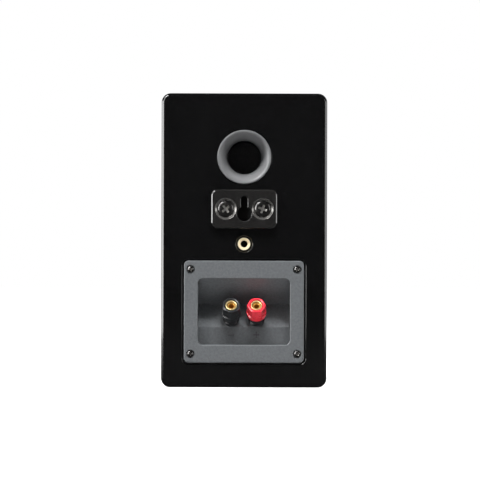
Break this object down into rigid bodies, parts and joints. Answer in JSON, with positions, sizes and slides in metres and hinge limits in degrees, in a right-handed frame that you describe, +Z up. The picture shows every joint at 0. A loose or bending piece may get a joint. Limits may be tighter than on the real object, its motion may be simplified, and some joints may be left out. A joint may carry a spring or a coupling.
{
  "type": "bookshelf speaker",
  "caption": "Bookshelf speaker box with rear port, keyhole wall bracket, recessed binding posts and a pull-off cloth grille.",
  "frame": {"origin": "middle of the overall footprint, on the surface that the cabinet stands on", "axes": "+Z up, -Y out of the grille at the front, +Y out of the rear panel, +X to the right as seen from the front"},
  "size_m": [0.125, 0.16, 0.222],
  "materials": {
    "gloss_black": "high-gloss black lacquer over fibreboard",
    "black_metal": "smooth semi-gloss black",
    "cup_plastic": "fine spark-eroded grain, dark grey",
    "black_plastic": "smooth black",
    "red_plastic": "smooth translucent red",
    "port_plastic": "satin charcoal",
    "gold": "polished gold plating",
    "brass": "bright machined brass",
    "steel": "zinc-plated",
    "ferrite": "sintered dark grey",
    "rubber": "satin butyl",
    "cone": "satin mica-filled polymer",
    "dome": "bright satin",
    "spider": "resin-doped weave",
    "copper": "enamelled copper wire",
    "board": "green solder mask",
    "film": "amber tape wrap",
    "ceramic": "matte cement",
    "fibreboard": "raw sawn",
    "wadding": "loose polyester fibre",
    "foam": "closed-cell foam",
    "cloth": "open knitted black"
  },
  "bodies": {
    "cabinet": {"cabinet_shell": "gloss_black", "front_baffle": "gloss_black", "shelf_brace": "fibreboard", "wadding": "wadding", "port_flare": "port_plastic", "port_tube": "port_plastic", "keyhole_bracket": "black_metal", "bracket_screw_left": "black_metal", "bracket_screw_right": "black_metal", "threaded_insert": "brass", "terminal_cup": "cup_plastic", "cup_gasket": "foam", "cup_screw_top_left": "black_metal", "cup_screw_top_right": "black_metal", "cup_screw_base_left": "black_metal", "cup_screw_base_right": "black_metal", "woofer_basket": "black_metal", "woofer_surround": "rubber", "woofer_spider": "spider", "woofer_top_plate": "steel", "woofer_magnet": "ferrite", "woofer_yoke": "steel", "tweeter_faceplate": "black_plastic", "tweeter_surround": "rubber", "tweeter_top_plate": "steel", "tweeter_magnet": "ferrite", "tweeter_yoke": "steel", "tweeter_diffuser": "black_plastic", "crossover_board": "board", "crossover_inductor": "copper", "crossover_capacitor": "film", "crossover_resistor": "ceramic", "woofer_lead": "black_plastic", "tweeter_lead": "black_plastic", "input_lead": "black_plastic", "woofer_screw_1": "black_metal", "woofer_screw_2": "black_metal", "woofer_screw_3": "black_metal", "woofer_screw_4": "black_metal", "tweeter_screw_1": "black_metal", "tweeter_screw_2": "black_metal", "tweeter_screw_3": "black_metal", "black_post_stud": "gold", "black_post_collar": "black_plastic", "black_post_nut": "brass", "red_post_stud": "gold", "red_post_collar": "black_plastic", "red_post_nut": "brass"},
    "grille": {"grille_frame": "black_plastic", "grille_cloth": "cloth"},
    "woofer_cone_group": {"woofer_cone": "cone", "woofer_dust_cap": "cone", "woofer_voice_coil": "copper"},
    "tweeter_dome_group": {"tweeter_dome": "dome"},
    "black_washer": {"black_post_washer": "gold"},
    "black_knob_group": {"black_knob": "black_plastic", "black_knob_core": "gold"},
    "red_washer": {"red_post_washer": "gold"},
    "red_knob_group": {"red_knob": "red_plastic", "red_knob_core": "gold"}
  },
  "joints": [
    {"name": "grille_pull", "type": "slide", "parent": "cabinet", "child": "grille", "axis": [0, -1, 0], "range_m": [0, 0.035]},
    {"name": "woofer_excursion", "type": "slide", "parent": "cabinet", "child": "woofer_cone_group", "axis": [0, -1, 0], "range_m": [-0.004, 0.004], "stiffness_N_per_m": 900, "deforming": ["woofer_surround", "woofer_spider"]},
    {"name": "tweeter_excursion", "type": "slide", "parent": "cabinet", "child": "tweeter_dome_group", "axis": [0, -1, 0], "range_m": [-0.0005, 0.0005], "stiffness_N_per_m": 800, "deforming": ["tweeter_surround"]},
    {"name": "black_knob_travel", "type": "slide", "parent": "cabinet", "child": "black_washer", "axis": [0, 0.8192, 0.5736], "range_m": [0, 0.0045]},
    {"name": "black_knob_turn", "type": "hinge", "parent": "black_washer", "child": "black_knob_group", "pos_m": [0.00953, 0.05939, 0.05085], "axis": [0, 0.8192, 0.5736], "range_deg": [0, 2025]},
    {"name": "red_knob_travel", "type": "slide", "parent": "cabinet", "child": "red_washer", "axis": [0, 0.8192, 0.5736], "range_m": [0, 0.0045]},
    {"name": "red_knob_turn", "type": "hinge", "parent": "red_washer", "child": "red_knob_group", "pos_m": [-0.00953, 0.05939, 0.05085], "axis": [0, 0.8192, 0.5736], "range_deg": [0, 2025]}
  ],
  "couplings": [
    {"joint": "black_knob_turn", "follows": "black_knob_travel", "rad_per_m": 7854},
    {"joint": "red_knob_turn", "follows": "red_knob_travel", "rad_per_m": 7854}
  ]
}
